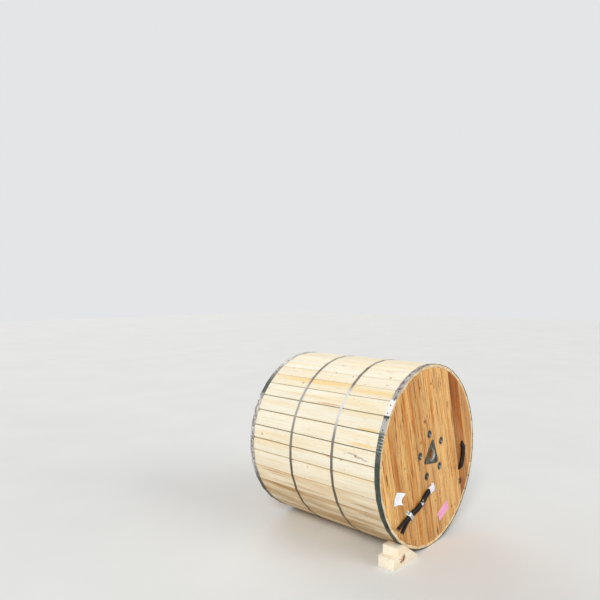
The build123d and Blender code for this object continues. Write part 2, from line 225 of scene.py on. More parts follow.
def place_marks(g, colour, marks):
    """Single knots, cracks and stains. Each mark has its middle, two directions at right angles
    with its reach along each, how strong it is and its colour."""
    place = g.place()
    ragged = g.linear(g.noise(place, 95, 3, 0.6), 1.3, -0.65)
    for middle, first, second, share, shade in marks:
        offset = g.vector("SUBTRACT", place, middle)
        a = g.dot(offset, tuple(c / first[1] for c in first[0]))
        b = g.dot(offset, tuple(c / second[1] for c in second[0]))
        inwards = Vector(first[0]).cross(Vector(second[0])).normalized()
        depth = g.dot(offset, tuple(inwards / mark_depth))
        distance = g.math("ADD", g.length(g.join(a, b, depth)), ragged)
        colour = g.mix(g.ease(distance, 0.45, 1.15, share, 0), colour, shade)
    return colour


# Noises in the wood: their shift, their scale along, across and through a board, detail and roughness
wood_noises = {
    "wander": (None, (1.4, 9, 9), 3),
    "jitter": (None, (4, 60, 60)),
    "streak": (None, (1.7, 62, 40), 3, 0.6),
    "broad": ((7.3, 1.9, 4.1), (0.9, 21, 16)),
    "fibre": (None, (9, 520, 420), 2, 0.6),
    "cloud": (None, (2.6, 7, 7), 3),
    "speck": (None, (34, 230, 150), 1),
    "dash": ((3.1, 8.7, 2.3), (5, 88, 64), 3, 0.6),
    "fine": ((5.9, 2.2, 6.4), (3.2, 210, 150), 3, 0.6),
    "grime": (None, (1.6, 17, 12), 4, 0.6),
    "saw": (None, (420, 16, 9)),
}
# How one growth ring goes from early to late wood
ring_stops = ((0, 0.1), (0.5, 0.28), (0.86, 1), (1, 0.12))


def wood(name, pale, deep, amber, look, turned=None, marks=()):
    """Pine boards: growth rings about a pith, fibres, knots, resin streaks and dirt.
    The grain attribute is along the board, and across and up from the board's pith;
    the tone attribute is the board's brightness, heartwood and dirt. Solids without these
    attributes are turned instead, so that their own X runs along the grain."""
    g = Paint(name)
    if turned is None:
        grain = g.attribute("grain")
        light, heart, dirt = g.split(g.attribute("tone"))
    else:
        turn = g.node("VectorRotate", {0: g.place(), "Rotation": turned}, rotation_type="EULER_XYZ")
        grain = g.vector("ADD", turn.outputs[0], (0, 0, 0.05))
        light, heart, dirt = 1, 0.2, 0.1
    knot, knot_edge, pull, knot_rings = knots(g, grain, look)
    n = {key: g.noise(g.vector("ADD", grain, shift) if shift else grain, *how)
         for key, (shift, *how) in wood_noises.items()}

    _, across, depth = g.split(grain)
    drift = g.linear(n["wander"], look["wander"], -look["wander"] / 2)
    y = g.math("ADD", across, drift)
    z = g.linear(drift, 0.6, depth)
    from_pith = g.math("SQRT", g.math("ADD", g.times(y, y), g.times(z, z)))
    phase = g.linear(g.linear(pull, 0.012, from_pith), 1 / look["ring_gap"], n["jitter"])
    ring = g.ramp(g.math("FRACT", phase), ring_stops)

    colour = g.mix(g.times(ring, look["rings"]), pale, deep)
    colour = g.mix(g.times(g.ease(n["streak"], 0.48, 0.7), look["streaks"]), colour, amber)
    colour = g.mix(g.times(g.ease(n["broad"], 0.5, 0.66), look["broad"]), colour, look["broad_colour"])
    near_pith = g.ease(from_pith, 0.018, 0.042, 1, 0)
    heart_reach = g.linear(g.math("MAXIMUM", near_pith, g.ease(n["cloud"], 0.35, 0.65)), 0.5, 0.5)
    colour = g.mix(g.times(heart_reach, heart, clamp=True), colour, look["heart_colour"])
    for key in ("fibre", "cloud"):
        colour = g.shaded(colour, g.linear(n[key], look[key + "s"], 1 - look[key + "s"] / 2))

    colour = g.mix(g.times(g.ease(n["speck"], 0.7, 0.78), look["specks"]), colour, dark_knot)
    dash = g.ease(n["dash"], look["dash_level"], look["dash_level"] + 0.07)
    colour = g.mix(g.times(dash, 0.85), colour, look["dash_colour"])
    fine = g.times(g.ease(n["fine"], 0.52, 0.66), look["fine"])
    colour = g.mix(fine, colour, look["dash_colour"], "MULTIPLY")
    colour = g.mix(g.times(knot_edge, 0.45), colour, amber)
    knot_fill = g.mix(g.linear(knot_rings, 0.3, 0.4), amber, dark_knot)
    colour = g.mix(g.times(knot, 0.9), colour, knot_fill)

    colour = g.shaded(colour, light)
    grime = g.times(g.ease(n["grime"], 0.3, 0.7), dirt)
    colour = g.mix(grime, colour, look["dirt_colour"], "MULTIPLY")
    colour = place_marks(g, colour, marks)
    g.surface(Base_Color=colour, Roughness=g.linear(ring, -0.12, look["roughness"]), Specular_IOR_Level=0.22)

    height = g.linear(n["saw"], look["saw_marks"], g.times(n["fibre"], 0.7))
    height = g.linear(ring, 0.35, height)
    g.bump(g.linear(knot, 0.6, height), look["relief"])
    return g.material


# Looks of the lagging's, the flanges' and the chock's wood
looks = dict(
    knots=(0.4, 0.42, 0), knot_spacing=((0.34, 0.1), (0.26, 0.11), (0.3, 0.12)),
    knot_radius=(0.009, 0.01, 0.009), wander=(0.03, 0.04, 0.01), ring_gap=(0.0048, 0.0064, 0.0075),
    rings=(0.3, 0.6, 0.42), streaks=(0.42, 0.74, 0.26), broad=(0.34, 0.46, 0.22),
    broad_colour=(rgb(247, 216, 152), rgb(200, 120, 30), rgb(240, 208, 148)),
    fibres=(0.14, 0.34, 0.12), clouds=(0.08, 0.22, 0.08), specks=(0.5, 0.85, 0.25),
    dash_level=(0.69, 0.575, 0.76), fine=(0.2, 0.55, 0.15), roughness=(0.72, 0.58, 0.75),
    dash_colour=(rgb(206, 172, 124), rgb(152, 84, 16), rgb(206, 168, 116)),
    saw_marks=(0.9, 0.25, 1.1), relief=(0.0008, 0.0007, 0.0008),
    heart_colour=(rgb(246, 206, 134), rgb(180, 100, 10), rgb(238, 206, 152)),
    dirt_colour=(rgb(188, 150, 88), rgb(158, 108, 52), rgb(190, 168, 130)),
)
lagging_look, flange_look, chock_look = (
    {key: values[i] for key, values in looks.items()} for i in range(3))
dark_knot = rgb(84, 40, 14)
umber = rgb(116, 62, 14)
ochre = rgb(188, 106, 28)
old_grey = rgb(150, 122, 84)


def out_from_axis(angle):
    """The direction away from the axis at an angle in degrees from the top towards -X."""
    turn = radians(angle)
    return Vector((-sin(turn), 0, cos(turn)))


def board_directions(end):
    """Along, across and out of the outer boards of a flange."""
    facing, lean, _ = flanges[end]
    along = Vector((-sin(lean), 0, cos(lean)))
    out = Vector((0, facing, 0))
    return along, along.cross(out), out


def face_marks(end, listed):
    """Marks on a flange's face from their place across and along its boards, in millimetres."""
    along, across, _ = board_directions(end)
    marks = []
    for u, v, wide, long, share, shade in listed:
        middle = (across * u + along * v) / 1000 + Vector((0, flanges[end][2], 0))
        marks.append((tuple(middle), (across, wide / 1000), (along, long / 1000), share, shade))
    return marks


# Across and along the front boards from the middle, half width and half length, strength, colour
front_marks = face_marks("front", (
    (330, 330, 17, 150, 0.8, umber), (352, 130, 12, 170, 0.55, umber),
    (322, 40, 10, 190, 0.6, umber), (398, 290, 14, 90, 0.45, umber),
    (316, -338, 25, 30, 1, dark_knot), (344, -382, 32, 60, 0.5, umber),
    (366, -410, 16, 40, 0.5, ochre), (356, 40, 24, 200, 0.35, ochre),
    (-158, 330, 13, 210, 0.6, ochre), (-154, 60, 9, 110, 0.65, umber),
    (128, 270, 7, 78, 0.7, umber), (150, 420, 12, 110, 0.45, old_grey),
    (-35, 237, 11, 12, 0.6, umber), (62, 282, 12, 34, 0.6, ochre),
    (74, 222, 10, 20, 0.55, ochre), (-262, 340, 7, 18, 0.85, umber),
    (-202, 215, 8, 62, 0.5, umber), (-35, -512, 12, 30, 0.75, umber),
    (-492, 72, 9, 46, 0.7, dark_knot), (-396, 80, 24, 130, 0.5, ochre),
    (-420, 250, 16, 60, 0.45, ochre), (262, 236, 11, 34, 0.55, umber),
    (250, -211, 8, 9, 0.5, umber), (-308, 53, 9, 9, 0.55, umber),
    (-18, -308, 9, 8, 0.55, dark_knot), (-120, -470, 14, 60, 0.35, ochre),
    (100, -90, 8, 90, 0.3, ochre), (-230, -380, 14, 90, 0.4, ochre),
    (200, 60, 6, 60, 0.3, umber), (5, 380, 18, 70, 0.3, old_grey),
))

# The chock's knot on its front side: a dark crescent round a paler core, and two dark ends
chock_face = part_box("chock")[0][1]
slant, across_slant = (0.74, 0, 0.67), (-0.67, 0, 0.74)
knot_core = rgb(226, 174, 138)
chock_marks = (
    ((-0.362, chock_face, -0.528), (slant, 0.034), (across_slant, 0.026), 0.3, knot_core),
    ((-0.353, chock_face, -0.528), (slant, 0.027), (across_slant, 0.02), 0.95, dark_knot),
    ((-0.365, chock_face, -0.522), (slant, 0.016), (across_slant, 0.013), 0.95, knot_core),
    ((-0.379, chock_face, -0.541), ((1, 0, 0), 0.009), ((0, 0, 1), 0.007), 0.9, dark_knot),
    ((-0.389, chock_face, -0.522), ((1, 0, 0), 0.007), ((0, 0, 1), 0.006), 0.6, umber),
)


def lagging_marks(listed):
    """Marks on the lagging from their angle in degrees and their place along the drum, with half
    their length along it and half their width across the board, in metres."""
    marks = []
    for angle, y, long, wide, share, shade in listed:
        up = out_from_axis(angle)
        across = backwards.cross(up)
        middle = tuple(up * (0.999 * lagging_radius) + Vector((0, y, 0)))
        marks.append((middle, ((0, 1, 0), long), (across, wide), share, shade))
    return marks


cream = rgb(250, 214, 140)
pencil = rgb(170, 158, 150)
dull_brown = rgb(186, 128, 74)
board_marks = lagging_marks((
    (39.8, 0.1, 0.46, 0.026, 0.7, cream), (42, -0.36, 0.2, 0.016, 0.6, cream),
    (54.8, -0.08, 0.11, 0.006, 0.65, rgb(212, 150, 104)), (66, -0.42, 0.1, 0.01, 0.75, cream),
    (75.2, -0.4, 0.12, 0.013, 0.7, cream), (76.3, -0.2, 0.06, 0.006, 0.45, cream),
    (81.3, -0.33, 0.055, 0.006, 0.6, pencil), (82.6, -0.385, 0.04, 0.006, 0.8, pencil),
    (83.4, -0.43, 0.03, 0.004, 0.6, pencil), (81.9, -0.36, 0.012, 0.008, 0.7, old_grey),
    (86, -0.155, 0.024, 0.012, 0.4, rgb(232, 168, 128)), (31.5, -0.14, 0.005, 0.006, 0.85, umber),
    (34.7, -0.415, 0.005, 0.005, 0.7, umber), (96.3, 0.011, 0.008, 0.005, 0.6, ochre),
    (106.8, 0.33, 0.15, 0.007, 0.6, dull_brown), (108.6, 0.3, 0.09, 0.005, 0.45, dull_brown),
    (113.5, 0.1, 0.3, 0.01, 0.4, rgb(190, 156, 100)), (20.4, 0.02, 0.014, 0.01, 0.35, pencil),
    (112.6, -0.4, 0.11, 0.01, 0.6, rgb(178, 150, 96)), (119.5, 0, 0.26, 0.01, 0.5, rgb(176, 138, 84)),
))
lagging_wood = wood(
    "lagging_wood", rgb(255, 250, 232), rgb(247, 228, 190), rgb(249, 226, 178), lagging_look,
    marks=board_marks)
flange_wood = wood(
    "flange_wood", rgb(244, 204, 136), rgb(206, 144, 64), rgb(202, 126, 34), flange_look,
    marks=front_marks)
chock_wood = wood(
    "chock_wood", rgb(255, 249, 232), rgb(240, 216, 176), rgb(248, 228, 190), chock_look,
    marks=chock_marks)
hidden_wood = wood(
    "hidden_wood", rgb(222, 168, 100), rgb(188, 124, 60), rgb(196, 116, 48), flange_look,
    (radians(90), 0, 0))


# Radians for each metre along a strip, so that its painted crease glints are 18 mm apart
crease_glint_rate = 2 * pi / 0.018


def steel(name, colour, dark, roughness, brush, spangle_scale, relief, worn_and_highlit=False, slot=None):
    """Galvanised or plated steel: spangle, fine scratches along the strip, dents and dull spots.
    On a weathered strip the tone attribute gives its painted highlight, how brown it is, and its painted
    glints in stripes, which stand for creases that the mesh doesn't have."""
    g = Paint(name, slot)
    place = g.place()
    voronoi = g.node("TexVoronoi", {"Vector": place, "Scale": spangle_scale})
    flake, _, _ = g.split(voronoi.outputs["Color"])
    stain = g.noise(place, 14, 4, 0.6)
    scratch = g.noise(place, brush, 3, 0.7)
    shade = g.linear(flake, 0.22, g.linear(scratch, 0.3, 0.62))
    base = g.mix(g.ease(stain, 0.46, 0.74), colour, dark)
    base = g.shaded(base, shade)
    rough = g.linear(stain, 0.3, roughness - 0.12)
    rough = g.linear(flake, 0.1, rough)
    height = g.linear(scratch, 0.35, g.noise(place, 34, 2))
    metallic = 1
    if worn_and_highlit:
        # Tone parts: painted highlight, brown rust patches, and painted glint stripes that stand for creases
        painted_highlight, brown, crease_glints = g.split(g.attribute("tone"))
        run, _, _ = g.split(g.attribute("grain"))
        # Painted glint stripes across the strip, 18 mm apart, joined to the painted highlight
        crease = g.math("SINE", g.times(run, crease_glint_rate))
        crease = g.times(g.ease(crease, 0.2, 0.9), crease_glints)
        painted_highlight = g.math("MAXIMUM", painted_highlight, g.times(crease, 0.8))
        crumple = g.noise(place, (34, 60, 34), 3, 0.6)
        patch = g.times(g.ease(crumple, 0.4, 0.58), brown)
        # Painted highlight: the colour goes towards near white
        base = g.mix(painted_highlight, base, rgb(252, 248, 244))
        base = g.mix(patch, base, g.mix(g.ease(crumple, 0.55, 0.62), rgb(150, 124, 110), rgb(92, 80, 78)))
        metallic = g.linear(g.math("MAXIMUM", painted_highlight, patch), -0.75, 1, clamp=True)
        height = g.linear(crumple, g.times(brown, 2), height)
    g.surface(Base_Color=base, Metallic=metallic, Roughness=rough)
    g.bump(height, relief)
    return g.material


band_steel = steel(
    "band_steel", rgb(94, 106, 98), rgb(60, 70, 63), 0.34, (70, 70, 70), 120, 0.0014, True)
strap_steel = steel(
    "strap_steel", rgb(124, 112, 98), rgb(88, 79, 68), 0.36, (60, 400, 60), 160, 0.0006, True)
hub_steel = steel(
    "hub_steel", rgb(104, 106, 94), rgb(66, 68, 58), 0.42, (90, 90, 90), 90, 0.0006)
# Near-white steel for the collar's inside wall: a painted highlight
collar_highlight_steel = steel(
    "collar_highlight_steel", rgb(250, 250, 246), rgb(204, 202, 196), 0.5, (90, 40, 90), 120, 0.0004)
fastener_steel = steel(
    "fastener_steel", rgb(128, 126, 120), rgb(80, 78, 72), 0.38, (160, 160, 160), 240, 0.0003)
nail_steel = steel(
    "nail_steel", rgb(96, 88, 80), rgb(52, 44, 38), 0.46, (300, 300, 300), 300, 0.0002,
    slot="fastener_steel")
clamp_steel = steel(
    "clamp_steel", rgb(222, 228, 226), rgb(186, 194, 190), 0.26, (240, 240, 240), 200, 0.0003)
conductor_metal = steel(
    "conductor_metal", rgb(226, 226, 222), rgb(188, 186, 180), 0.32, (300, 300, 300), 400, 0.0002,
    slot="clamp_steel")


def insulation():
    """Black cable insulation with scuffs and dust."""
    g = Paint("cable_insulation", "cable_black")
    place = g.place()
    scuff = g.noise(place, 55, 4, 0.7)
    dust = g.noise(place, 18, 3)
    base = g.mix(g.ease(scuff, 0.55, 0.8), rgb(20, 12, 10), rgb(46, 29, 22))
    base = g.mix(g.times(g.ease(dust, 0.5, 0.75), 0.4), base, rgb(66, 44, 32))
    g.surface(Base_Color=base, Roughness=g.ease(scuff, 0.3, 0.8, 0.42, 0.66), Specular_IOR_Level=0.24)
    g.bump(g.noise(place, 130, 2), 0.0004)
    return g.material


def tape(name, colour, shade, pale_near=None):
    """Woven white tape; if a place is given, the tape stays pale near it and turns dark grey further away.
    """
    g = Paint(name, "wrap_white")
    grain = g.attribute("grain")
    along, across, _ = g.split(grain)
    warp = g.math("SINE", g.times(along, 5200))
    weft = g.math("SINE", g.times(across, 5200))
    weave = g.times(warp, weft)
    soil = g.noise(grain, 60, 3)
    base = g.mix(g.ease(soil, 0.48, 0.8), colour, shade)
    base = g.mix(g.linear(weave, 0.06, 0.06), base, shade)
    if pale_near:
        place = g.place()
        distance = g.length(g.vector("SUBTRACT", place, pale_near))
        # Dark grey from 10 to 16 mm away from the given place
        base = g.mix(g.ease(distance, 0.01, 0.016, 0, 0.85), base, rgb(84, 74, 70))
    g.surface(Base_Color=base, Roughness=0.82)
    g.bump(g.linear(weave, 0.4, soil), 0.0006)
    return g.material


def paper(name, slot, colour, line_colour, lines):
    """Label paper; the sheet attribute runs from 0 to 1 along and across it."""
    g = Paint(name, slot)
    u, v, _ = g.split(g.attribute("sheet"))
    place = g.place()
    fibre = g.noise(place, 420, 3, 0.7)
    fade = g.noise(place, 26, 3)
    base = g.mix(g.times(g.ease(fade, 0.4, 0.75), 0.35), colour, line_colour)
    if lines:
        edge_u = g.math("ABSOLUTE", g.math("SUBTRACT", u, 0.5))
        edge_v = g.math("ABSOLUTE", g.math("SUBTRACT", v, 0.5))
        frame_u = g.math("COMPARE", edge_u, 0.4, 0.014)
        frame_v = g.math("COMPARE", edge_v, 0.32, 0.03)
        inside = g.times(g.math("LESS_THAN", edge_u, 0.414), g.math("LESS_THAN", edge_v, 0.35))
        rule = g.math("COMPARE", edge_v, 0.04, 0.03)
        drawn = g.math("MAXIMUM", g.math("MAXIMUM", frame_u, frame_v), rule)
        base = g.mix(g.times(g.times(drawn, inside), 0.75), base, line_colour)
    g.surface(Base_Color=base, Roughness=0.62)
    g.bump(g.linear(fade, 1.5, fibre), 0.0004)
    return g.material


def mean(points):
    return sum(points, Vector()) / len(points)


def middle_of(part):
    return mean([v.co for v in part])


insulation_black = insulation()
wrap_tape = tape("wrap_tape", rgb(240, 240, 244), rgb(196, 194, 204))
knot_top = [v.co for v in frame["nodes"]["cable_tie"].data.vertices
            if v.co.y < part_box("cable_tie")[0][1] + 0.0005]
tie_knot = mean(knot_top) + Vector((0, 0.003, 0))
# The tie stays pale only round the front of its knot
tie_tape = tape("tie_tape", rgb(240, 240, 244), rgb(200, 198, 204), tuple(tie_knot))
white_paper = paper("white_paper", "label_white", rgb(240, 242, 246), rgb(206, 212, 224), False)
pink_paper = paper("pink_paper", "label_pink", rgb(244, 178, 210), rgb(206, 108, 160), True)


def layer(bm, name):
    """A mesh's named vectors, one for each vertex, new if it has none."""
    layers = bm.verts.layers.float_vector
    return layers.get(name) or layers.new(name)


def islands(bm):
    """The loose parts of a mesh, each as a list of its vertices, in the mesh's own order."""
    bm.verts.index_update()
    seen = set()
    parts = []
    for start in bm.verts:
        if start.index in seen:
            continue
        seen.add(start.index)
        part, stack = [], [start]
        while stack:
            vertex = stack.pop()
            part.append(vertex)
            for edge in vertex.link_edges:
                other = edge.other_vert(vertex)
                if other.index not in seen:
                    seen.add(other.index)
                    stack.append(other)
        parts.append(part)
    return parts


def solid_copy(node, edge=None, segments=2):
    """A copy of a node's mesh, welded, with its flat faces joined up and its edges eased."""
    bm = bmesh.new()
    bm.from_mesh(frame["nodes"][node].data)
    bmesh.ops.remove_doubles(bm, verts=bm.verts, dist=2e-6)
    bmesh.ops.dissolve_limit(bm, angle_limit=radians(0.6), verts=bm.verts, edges=bm.edges)
    layer(bm, "grain")
    layer(bm, "tone")
    if edge:
        round_edges(bm, edge, segments)
    return bm


def round_edges(bm, width, segments=2, least_angle=35):
    sharp = [e for e in bm.edges if len(e.link_faces) == 2
             and e.calc_face_angle() > radians(least_angle)]
    bmesh.ops.bevel(bm, geom=sharp, offset=width, offset_type="OFFSET", segments=segments,
                    profile=0.5, affect="EDGES", clamp_overlap=True)


def add_object(name, data):
    holder = bpy.data.objects.new(name, data)
    bpy.context.scene.collection.objects.link(holder)
    return holder


def finished(bm, material, node=None, name=None, smooth_angle=30):
    """The mesh as a piece of the root body, in its material's slot and in the place of its node."""
    bmesh.ops.recalc_face_normals(bm, faces=bm.faces)
    name = name or node + "_dressed"
    mesh = bpy.data.meshes.new(name)
    bm.to_mesh(mesh)
    bm.free()
    mesh.materials.append(material)
    for polygon in mesh.polygons:
        polygon.use_smooth = True
    mesh.set_sharp_from_angle(angle=radians(smooth_angle))
    piece = add_object(name, mesh)
    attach(piece, "root")
    if node:
        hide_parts(node)
    return piece


def bridge(bm, rings, closed=False):
    """Faces from each ring of vertices to the next."""
    for lower, upper in zip(rings, rings[1:] + rings[:1] if closed else rings[1:]):
        for k in range(len(lower)):
            n = (k + 1) % len(lower)
            bm.faces.new((lower[k], lower[n], upper[n], upper[k]))


def closed(bm, rings):
    """A solid with its sides from ring to ring and a face over the first and the last."""
    bridge(bm, rings)
    bm.faces.new(rings[-1])
    bm.faces.new(rings[0][::-1])


def circle(count, radius, lift=0):
    """Points on a circle round Z."""
    angles = [2 * pi * k / count for k in range(count)]
    return [Vector((cos(a) * radius, sin(a) * radius, lift)) for a in angles]


def ring_at(bm, place, direction, points):
    """New vertices at points round Z, turned to face a direction and moved to a place."""
    turn = upwards.rotation_difference(direction)
    return [bm.verts.new(place + turn @ p) for p in points]


def keep_inside(point, box):
    """Moves a point back into the box at its sides and its foot."""
    point.x = min(max(point.x, box[0][0]), box[1][0])
    point.z = max(point.z, box[0][2])


def angle_from_top(point):
    """The angle in degrees from the top towards -X, from 0 to 360."""
    return degrees(atan2(-point.x, point.z)) % 360


def paint_grain(bm, part, axes, origin, tone):
    """Gives a board's vertices their place from the pith along three axes, and the board's tone."""
    grain, shade = layer(bm, "grain"), layer(bm, "tone")
    for vertex in part:
        place = vertex.co - origin
        vertex[grain] = Vector(place.dot(axis) for axis in axes)
        vertex[shade] = Vector(tone)


def pith_place(rng, middle, axes, wide):
    """A pith somewhere below or above the board, and a random stretch along it."""
    along, across, up = axes
    side = rng.uniform(-0.5, 0.5) * wide
    deep = rng.choice((-1, -1, 1)) * rng.uniform(0.022, 0.075)
    return middle + across * side + up * deep + along * rng.uniform(-40, 40)


# The lagging boards. A seam within so many degrees of a listed angle stands open; the number
# says how much each board's edge closes it. The others are closed by a random part of a range.
open_seams = {46: 0, 56: -0.001, 67: 0.0006, 77: -0.0002, 86: -0.0022, 94: -0.0014}
seam_reach = 3.5
closed_seam = (0.0006, 0.0014)
board_stations = 26
board_edge = 0.0016
edge_waver = 0.0006
most_sink = 0.0008
most_shorter = 0.0035
end_light = 0.9


def lagging_tone(angle, rng):
    """Brightness, heartwood and dirt of the board that faces an angle."""
    light = rng.uniform(0.98, 1.03)
    heart = rng.uniform(0, 0.22)
    dirt = rng.uniform(0, 0.08)
    # Boards from 46 to 80 degrees are kept pale, with little heartwood colour and no grime
    if 46 < angle < 80:
        heart, dirt = 0.05, 0
    if 96 < angle < 107:
        heart, dirt = 0.15, 0.15
    if 107 < angle < 118:
        light, heart, dirt = 0.99, 0.3, 0.42
    # On the lower side, from 118 to 242 degrees, the boards are darker, with more heartwood colour and
    # darker noisy patches
    if 118 < angle < 242:
        light, heart, dirt = rng.uniform(0.89, 0.94), rng.uniform(0.4, 0.6), rng.uniform(0.85, 1)
    return light, heart, dirt


def lagging():
    bm = solid_copy("lagging_boards")
    for station in range(1, board_stations):
        y = -half_length + 2 * half_length * station / board_stations
        geometry = bm.verts[:] + bm.edges[:] + bm.faces[:]
        bmesh.ops.bisect_plane(bm, geom=geometry, plane_co=(0, y, 0), plane_no=(0, 1, 0))
    round_edges(bm, board_edge)
    parts = sorted(islands(bm), key=lambda part: angle_from_top(middle_of(part)))
    tone = layer(bm, "tone")
    rng = random.Random(12)
    along = backwards
    for part in parts:
        middle = middle_of(part)
        angle = angle_from_top(middle)
        up = Vector((middle.x, 0, middle.z)).normalized()
        across = along.cross(up)
        wide = max((v.co - middle).dot(across) for v in part)
        thick = max((v.co - middle).dot(up) for v in part)
        axes = along, across, up
        origin = pith_place(rng, middle, axes, wide * 2)
        paint_grain(bm, part, axes, origin, lagging_tone(angle, rng))
        step = degrees(wide / middle.length)
        closing = {}
        for side in (-1, 1):
            seam = angle - side * step
            near = min(open_seams, key=lambda s: abs(seam - s))
            is_open = abs(seam - near) < seam_reach
            closing[side] = open_seams[near] if is_open else rng.uniform(*closed_seam)
        sink = rng.uniform(0, most_sink)
        shorter = {side: rng.uniform(0, most_shorter) for side in (-1, 1)}
        seed = rng.uniform(0, 100)
        for vertex in part:
            place = vertex.co - middle
            y, s, n = place.dot(along), place.dot(across), place.dot(up)
            side = 1 if s > 0 else -1
            edge = abs(s) / wide
            outer = (n / thick + 1) / 2
            wave = noise.noise(Vector((y * 5, seed, side * 3)))
            s += side * edge * (closing[side] * outer - edge_waver - edge_waver * wave)
            n -= (sink + 0.0004 * (1 + noise.noise(Vector((y * 3, s * 8, seed))))) * outer
            if abs(y) > half_length - 0.02:
                end = 1 if y > 0 else -1
                y -= end * (shorter[end] + 0.0008 * (1 + noise.noise(Vector((s * 30, n * 30, seed)))))
            vertex.co = middle + along * y + across * s + up * n
            if abs(place.dot(along)) > half_length - 0.0004:
                vertex[tone] = Vector((end_light * rng.uniform(0.96, 1.04), 0.7, 0.4))
    finished(bm, lagging_wood, "lagging_boards")


def board_spans(bm, across):
    """Both edges of each board of a layer and its vertices, from one side to the other."""
    spans = []
    for part in islands(bm):
        reach = [v.co.dot(across) for v in part]
        spans.append((min(reach), max(reach), part))
    return sorted(spans, key=lambda span: span[:2])


def flange_boards(end, tone_of, seed):
    node = end + "_flange_outer_boards"
    bm = solid_copy(node, 0.0012)
    axes = along, across, up = board_directions(end)
    rng = random.Random(seed)
    for low, high, part in board_spans(bm, across):
        middle = across * (low + high) / 2 + Vector((0, part[0].co.y, 0))
        origin = pith_place(rng, middle, axes, high - low)
        paint_grain(bm, part, axes, origin, tone_of((low + high) / 2, rng))
    finished(bm, flange_wood, node, end + "_flange_dressed")


# Right edge of each front board, in metres across, and its brightness, heartwood and dirt
front_tones = (
    (-0.43, (1.08, 0.1, 0.25)), (-0.36, (0.96, 0.38, 0.45)), (-0.268, (1.04, 0.15, 0.4)),
    (-0.158, (1.02, 0.25, 0.25)), (-0.07, (0.98, 0.3, 0.35)), (0.035, (1.04, 0.14, 0.35)),
    (0.15, (1.06, 0.12, 0.2)), (0.23, (1.06, 0.06, 0.2)), (0.312, (1.06, 0.1, 0.35)),
    (0.427, (0.92, 1.25, 0.25)), (1, (1.04, 0.4, 0.25)),
)


def front_tone(u, rng):
    """Tone of a front board; u is its middle's place across the boards, from the left."""
    return next(tone for edge, tone in front_tones if u < edge)


def back_tone(u, rng):
    return rng.uniform(0.92, 1.04), rng.uniform(0.05, 0.8) ** 2, rng.uniform(0, 0.3)


# Steel strips bent over the boards
def board_angles():
    """The angle that each lagging board faces, in degrees, from the frame's own boards."""
    bm = solid_copy("lagging_boards")
    angles = sorted(angle_from_top(middle_of(part)) for part in islands(bm))
    bm.free()
    return angles


def polygon_radius(angle, radius, angles):
    """The distance from the axis of a strip that touches each board at its middle."""
    nearest = min(abs((angle - a + 180) % 360 - 180) for a in angles)
    return radius / cos(radians(nearest))


def blend(value, stops):
    """The value between the stops, each a place and its level."""
    for (low, first), (high, second) in zip(stops, stops[1:]):
        if value <= high:
            share = (value - low) / (high - low)
            return first + (second - first) * share
    return stops[-1][1]


# Angle in degrees, then the strip's painted highlight, how brown it is, and its painted crease glints there
plain = ((0, 0), (360, 0))
front_band_tones = dict(
    painted_highlight=((0, 0.1), (14, 0.2), (26, 0.34), (44, 0.45), (46, 1), (55.6, 1), (56, 0), (57.2, 0),
            (58, 0.5), (65, 0.52), (67, 0.06), (76, 0.06), (79, 0.12), (84, 0), (340, 0), (360, 0.1)),
    brown=((0, 0.9), (44, 0.8), (46, 0), (360, 0)),
    crease_glints=((0, 0), (60, 0), (65, 0.5), (68, 0.9), (76, 0.9), (79, 0.2), (86, 0), (360, 0)),
)
back_band_tones = dict(
    painted_highlight=((0, 0.4), (38, 0.34), (43, 0.04), (54, 0.04), (58, 0.75), (106, 0.6), (118, 0),
            (340, 0), (360, 0.4)),
    brown=((0, 0.55), (38, 0.55), (43, 0.1), (54, 0.1), (58, 0.6), (112, 0.75), (120, 0.2), (360, 0.5)),
)
front_strap_tones = dict(
    painted_highlight=((0, 0.14), (15, 0.05), (26, 0), (38, 0.05), (44, 0.7), (48, 0.85), (63, 0.8), (72, 0.28),
            (84, 0.14), (100, 0.03), (340, 0.03), (360, 0.14)),
)
back_strap_tones = dict(
    painted_highlight=((0, 0.14), (15, 0.03), (26, 0), (37, 0.08), (46, 0.42), (66, 0.4), (77, 0.2), (88, 0.14),
            (100, 0), (340, 0), (360, 0.14)),
)
# Thickness of a strip and the depth of its dents
band_make = (0.001, 0.0016)
strap_make = (0.0008, 0.0004)
strip_steps = 900
# Share of the painted crease glints on the far half of each strip
far_half_glint = 0.4


